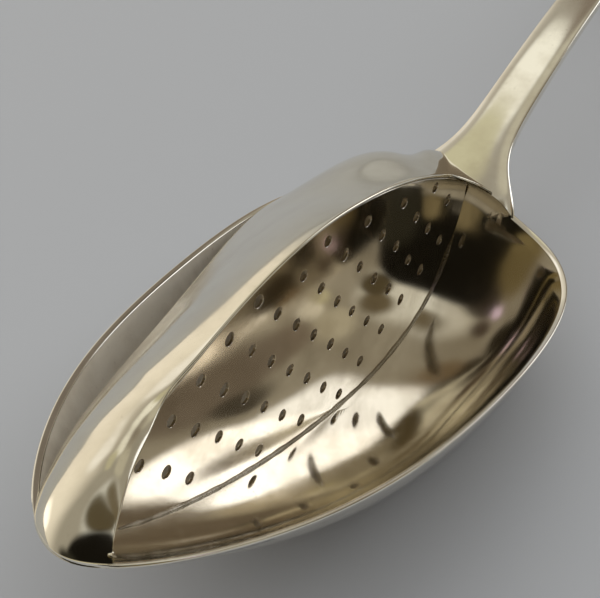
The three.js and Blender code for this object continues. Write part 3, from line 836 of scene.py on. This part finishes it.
def plate():
    """A filled outline with holes, given its thickness and slightly rounded edges"""
    curve = bpy.data.curves.new("plate_work", "CURVE")
    curve.dimensions = "2D"
    curve.fill_mode = "BOTH"
    curve.extrude = PLATE_SHEET / 2 - PLATE_BEVEL
    curve.bevel_depth = PLATE_BEVEL
    curve.bevel_resolution = 2
    curve.offset = -PLATE_BEVEL
    for loop in plate_loops():
        spline = curve.splines.new("POLY")
        spline.points.add(len(loop) - 1)
        for point, (x, z) in zip(spline.points, loop):
            point.co = (x, z, 0, 1)
        spline.use_cyclic_u = True
    work = place_object("plate_work", curve)
    mesh = finished_mesh(work)
    bpy.data.objects.remove(work)
    write_points(mesh, to_world(stand_up(read_points(mesh))))
    orient(mesh, PLATE_WELD)
    mesh.name = "pierced_plate"
    back = [face.index for face in mesh.polygons if face.normal.y > BACK_FACING]
    piece = dress("pierced_plate", mesh, plate_silver, "strainer_plate", PLATE_SHARP)
    dull(piece, back)


plate()

# Solder lines
SEAM_STEPS = 160
SEAM_SIDES = 12
SEAM_SHARP = 60
UNEVEN_SHARE = 0.12
UNEVEN_WAVES = (5, 11, 23)
# A seam thins out to this share of its radius, over one part in so many of its length at each end
SEAM_END_SHARE = 0.15
SEAM_END_PARTS = 25
FOOT_SEAM_RADIUS = 0.24
FOOT_SEAM_OFFSET = 0.1
FOOT_SEAM_LIFT = 0.12
FOOT_SEAM_FRONT = 6
FOOT_SEAM_REAR = 2.5
FOOT_SEAM_POINTS = 30
HOOD_SEAM_RADIUS = 0.4
UNDER_SEAM_ENDS = (0.26, 0.84)
UNDER_SEAM_CLEAR = 0.2
UNDER_SEAM_POINTS = 30
ARCH_STEPS = 101
RIM_SEAM_INSET = 0.35
RIM_SEAM_DROP = 0.25
RIM_SEAM_POINTS = 24
# Angles by which the seams on the rim stop short of the ends of the hood's foot
NOSE_SEAM_SHORT = 0.05
HEEL_SEAM_SHORT = 0.1


def seam(name, path, radius, node, seed):
    """A thin uneven seam along a path"""
    rng = np.random.default_rng(seed)
    steps = np.linspace(0, 1, SEAM_STEPS)
    path = Curve(path).at(steps)
    ahead = np.gradient(path, axis=0)
    ahead /= np.linalg.norm(ahead, axis=1, keepdims=True)
    side = np.cross(ahead, (0, 0, 1.0))
    side /= np.linalg.norm(side, axis=1, keepdims=True)
    up = np.cross(side, ahead)
    waves = sum(UNEVEN_SHARE * np.sin(2 * np.pi * f * steps + rng.uniform(0, 6)) for f in UNEVEN_WAVES)
    taper = np.clip(np.minimum(steps, 1 - steps) * SEAM_END_PARTS, SEAM_END_SHARE, 1)
    turns = np.linspace(0, 2 * np.pi, SEAM_SIDES, endpoint=False)
    rings = [
        p + radius * w * t * (np.outer(np.cos(turns), s) + np.outer(np.sin(turns), u))
        for p, s, u, w, t in zip(path, side, up, 1 + waves, taper)
    ]
    grow_piece(name, rings, solder_silver, node, SEAM_SHARP)


def foot_seam(name, offset, node, seed):
    points = []
    for x in np.linspace(-PLATE_FRONT + FOOT_SEAM_FRONT, -PLATE_REAR - FOOT_SEAM_REAR, FOOT_SEAM_POINTS):
        y = plate_face(x) + offset
        points.append((x, y, inside_height(x, y) + FOOT_SEAM_LIFT))
    seam(name, points, FOOT_SEAM_RADIUS, node, seed)


def under_seam(name, node, seed):
    points = []
    for share in np.linspace(*UNDER_SEAM_ENDS, UNDER_SEAM_POINTS):
        arch = hood_arch(share, ARCH_STEPS)[::-1]
        clear = arch[:, 1] - plate_face(arch[:, 0]) > PLATE_SHEET + UNDER_SEAM_CLEAR
        points.append(arch[np.argmax(clear)] - np.array([0, 0, HOOD_SHEET + UNDER_SEAM_CLEAR]))
    seam(name, points, HOOD_SEAM_RADIUS, node, seed)


def rim_seam(name, start, end, node, seed):
    points = []
    for angle in np.linspace(start, end, RIM_SEAM_POINTS):
        x, y = inset_outline(angle, RIM_WIDTH + RIM_SEAM_INSET)
        points.append((float(x), float(y), float(rim_height(-outline_at(angle)[0])) - RIM_SEAM_DROP))
    seam(name, points, HOOD_SEAM_RADIUS, node, seed)


nose_seam_ends = (NEAR_CORNER - NOSE_SEAM_SHORT, rim_angle(SLOT_NOSE_END) + NOSE_SEAM_SHORT)
heel_seam_ends = (rim_angle(SLOT_HEEL_END) - HEEL_SEAM_SHORT, SHOULDER_ANGLE + HEEL_SEAM_SHORT)
foot_seam("seam_foot_pocket", -FOOT_SEAM_OFFSET, "solder_foot_pocket", 1)
foot_seam("seam_foot_chamber", PLATE_SHEET + FOOT_SEAM_OFFSET, "solder_foot_chamber", 2)
under_seam("seam_hood_plate", "solder_hood_plate", 3)
rim_seam("seam_hood_nose", *nose_seam_ends, "solder_hood_nose", 4)
rim_seam("seam_hood_heel", *heel_seam_ends, "solder_hood_heel", 5)

# Floor, in metres
FLOOR_REACH = 6
FLOOR_CORNERS = [(x * FLOOR_REACH, y * FLOOR_REACH, 0) for x, y in ((-1, -1), (1, -1), (1, 1), (-1, 1))]


def floor_paint():
    material = bpy.data.materials.new("pale_floor")
    material.use_nodes = True
    shader = material.node_tree.nodes["Principled BSDF"]
    shader.inputs["Base Color"].default_value = (0.40, 0.403, 0.412, 1)
    shader.inputs["Roughness"].default_value = 0.55
    shader.inputs["Specular IOR Level"].default_value = 0.3
    return material


def floor():
    mesh = bpy.data.meshes.new("floor")
    mesh.from_pydata(FLOOR_CORNERS, [], [(0, 1, 2, 3)])
    mesh.materials.append(floor_paint())
    place_object("floor", mesh)


floor()


def lamp(name, place, target, size, power, colour):
    light = bpy.data.lights.new(name, "AREA")
    light.shape = "RECTANGLE"
    light.size, light.size_y = size
    light.energy = power
    light.color = colour
    obj = place_object(name, light)
    obj.location = place
    obj.rotation_euler = (Vector(target) - Vector(place)).to_track_quat("-Z", "Y").to_euler()
    obj.visible_glossy = False


# A broad soft lamp that lights the floor. What the silver mirrors is the room.
lamp(
    "key", place=(0.0, 0.05, 1.3), target=(-0.02, 0, 0),
    size=(3.4, 3.2), power=31, colour=(0.9, 0.945, 1.0),
)

# Room: pale walls and ceiling, with a warm side, darker corners and the dark gap behind the camera
ROOM_COLOUR = (0.37, 0.345, 0.29, 1)
# Each zone has its azimuth and elevation, the angles round it where it is full and where it ends, all in
# degrees, and its colour. Later zones lie over earlier ones.
ROOM_ZONES = (
    (-110, 74, 14, 30, (0.85, 0.86, 0.82)),
    (78, 2, 8, 64, (0.98, 0.91, 0.79)),
    (96, 2, 3, 13, (1.75, 1.65, 1.5)),
    (60, 37, 4, 13, (1.08, 1.05, 1.0)),
    (27, 50, 5, 10, (1.0, 0.98, 0.88)),
    (40, 56, 4, 8, (0.6, 0.57, 0.4)),
    (25, 3, 12, 24, (0.46, 0.46, 0.445)),
    (-4, 57, 7, 14, (0.55, 0.52, 0.42)),
    (8, 38, 6, 13, (0.25, 0.21, 0.17)),
    (6, 22, 12, 20, (0.2, 0.17, 0.14)),
    (-31, 25, 6, 10, (1.5, 1.55, 1.65)),
    (-27, 12, 8, 12, (2.3, 2.35, 2.5)),
    (-11, 27, 4, 7, (0.08, 0.07, 0.055)),
    (-60, 5, 4, 11, (0.6, 0.54, 0.42)),
    (-52, 24, 8, 13, (0.05, 0.04, 0.025)),
    (-46, 36, 4, 10, (0.25, 0.19, 0.12)),
    (-52, 76, 6, 13, (0.16, 0.13, 0.08)),
    (-165, 83, 9, 14, (0.1, 0.08, 0.045)),
    (-76, 20, 8, 14, (0.025, 0.02, 0.012)),
    (-125, 15, 12, 24, (0.22, 0.18, 0.09)),
    (-120, 45, 11, 19, (0.055, 0.045, 0.035)),
    (-85, 45, 5, 9, (0.08, 0.055, 0.04)),
    (-101, 34, 3, 6, (1.2, 1.0, 1.45)),
    (-144, 19, 6, 10, (0.015, 0.013, 0.009)),
    (-160, 44, 25, 32, (0.008, 0.007, 0.005)),
    (168, 28, 12, 26, (0.03, 0.028, 0.02)),
    (-166, 20, 2.5, 6, (0.22, 0.18, 0.1)),
)


def direction_to(azimuth, elevation):
    a, e = math.radians(azimuth), math.radians(elevation)
    return Vector((math.cos(e) * math.cos(a), math.cos(e) * math.sin(a), math.sin(e))).normalized()


def lay_zone(tree, direction, under, azimuth, elevation, full, ends, tint):
    """Lays a zone's colour over the one under it, and returns the two together"""
    directions = {0: direction, 1: direction_to(azimuth, elevation)}
    dot = add_node(tree, "VectorMath", directions, operation="DOT_PRODUCT")
    limits = {"From Min": math.cos(math.radians(ends)), "From Max": math.cos(math.radians(full))}
    inputs = {"Value": dot.outputs["Value"], **limits}
    share = add_node(tree, "MapRange", inputs, interpolation_type="SMOOTHSTEP")
    tints = {"Factor": share.outputs["Result"], "A": under, "B": (*tint, 1)}
    return add_node(tree, "Mix", tints, data_type="RGBA").outputs["Result"]


def room():
    world = bpy.data.worlds.new("room")
    bpy.context.scene.world = world
    world.use_nodes = True
    tree = world.node_tree
    tree.nodes.clear()
    direction = add_node(tree, "TexCoord").outputs["Generated"]
    colour = ROOM_COLOUR
    for zone in ROOM_ZONES:
        colour = lay_zone(tree, direction, colour, *zone)
    background = add_node(tree, "Background", {"Color": colour, "Strength": 1.0})
    add_node(tree, "OutputWorld", {"Surface": background.outputs["Background"]})


room()

# Camera
LENS = 73.55
SENSOR = 36
NEAREST = 0.01
CAMERA_PLACE = (-0.208726, -0.070472, 0.148364)
# Its axes: right, up and back
CAMERA_AXES = Matrix((
    (0.51462, -0.85683, -0.03181),
    (0.57717, 0.31873, 0.75186),
    (-0.63408, -0.40528, 0.65856),
)).transposed()
camera = bpy.data.cameras.new("camera")
camera.lens = LENS
camera.sensor_width = SENSOR
camera.clip_start = NEAREST
camera_object = place_object("camera", camera)
camera_object.matrix_world = Matrix.Translation(CAMERA_PLACE) @ CAMERA_AXES.to_4x4()
bpy.context.scene.camera = camera_object
bpy.context.scene.view_settings.view_transform = "Standard"
